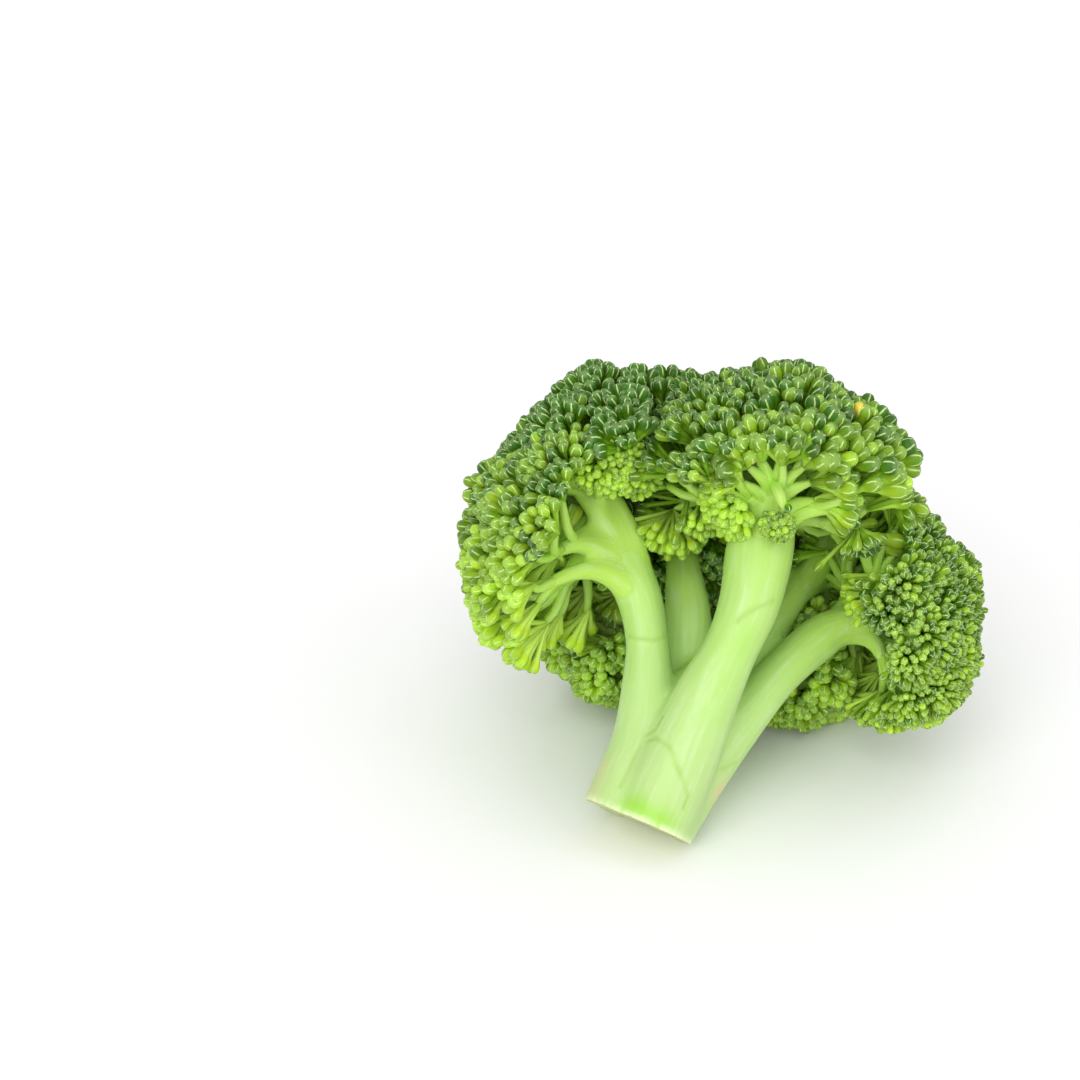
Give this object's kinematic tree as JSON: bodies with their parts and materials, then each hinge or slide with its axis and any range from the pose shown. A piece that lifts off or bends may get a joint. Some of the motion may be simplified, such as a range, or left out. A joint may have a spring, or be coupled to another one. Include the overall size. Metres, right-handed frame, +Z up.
{
  "type": "broccoli head",
  "caption": "Cut head of broccoli lying on its side: a short pale stem that forks into branches, each carrying a domed crown of small green buds.",
  "frame": {"origin": "on the table, under the middle of the head's bounding box", "axes": "+Z up from the table, -Y towards the cut end of the stem, which faces the viewer, +X to the viewer's right"},
  "size_m": [0.11, 0.1038, 0.092],
  "materials": {
    "stem_flesh": "smooth waxy pale green",
    "crown_buds": "mid to dark green buds with paler edges",
    "spray_buds": "young yellow-green buds"
  },
  "bodies": {
    "root": {"stem": "stem_flesh", "centre_crown": "crown_buds", "left_crown": "crown_buds", "right_crown": "crown_buds", "rear_left_crown": "crown_buds", "rear_right_crown": "crown_buds", "under_left_crown": "crown_buds", "under_right_crown": "crown_buds", "dangling_spray": "spray_buds", "inner_spray": "spray_buds", "drooping_spray": "spray_buds"}
  },
  "joints": []
}
